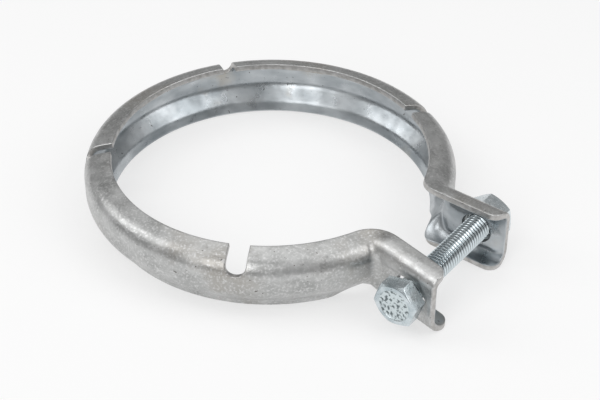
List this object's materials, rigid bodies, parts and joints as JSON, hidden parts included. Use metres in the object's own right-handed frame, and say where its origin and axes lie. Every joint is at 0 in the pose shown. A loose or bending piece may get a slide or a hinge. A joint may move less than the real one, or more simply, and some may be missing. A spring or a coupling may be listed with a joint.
{
  "type": "exhaust pipe connector",
  "caption": "Channel-section steel band clamp that draws two flanged exhaust pipes together, closed by a hexagon bolt and nut across its turned-out ears.",
  "frame": {"origin": "centre of the ring, on the pipe's axis, at the height of the bolt", "axes": "+Z along the pipe's axis, +X from the pipe towards the two ears, and the bolt parallel to Y with its head at -Y"},
  "size_m": [0.1694, 0.145, 0.0258],
  "materials": {
    "band_steel": "satin",
    "bolt_zinc": "satin",
    "nut_zinc": "satin"
  },
  "bodies": {
    "band": {"clamp_band": "band_steel"},
    "bolt": {"hex_bolt": "bolt_zinc"},
    "nut": {"hex_nut": "nut_zinc"}
  },
  "joints": [
    {"name": "bolt_turn", "type": "hinge", "parent": "band", "child": "bolt", "pos_m": [0.084, 0, 0], "axis": [0, 1, 0], "range_deg": [-1680, 0]},
    {"name": "nut_travel", "type": "slide", "parent": "band", "child": "nut", "axis": [0, 1, 0], "range_m": [0, 0.007]}
  ],
  "couplings": [
    {"joint": "nut_travel", "follows": "bolt_turn", "m_per_rad": -0.00023873}
  ]
}
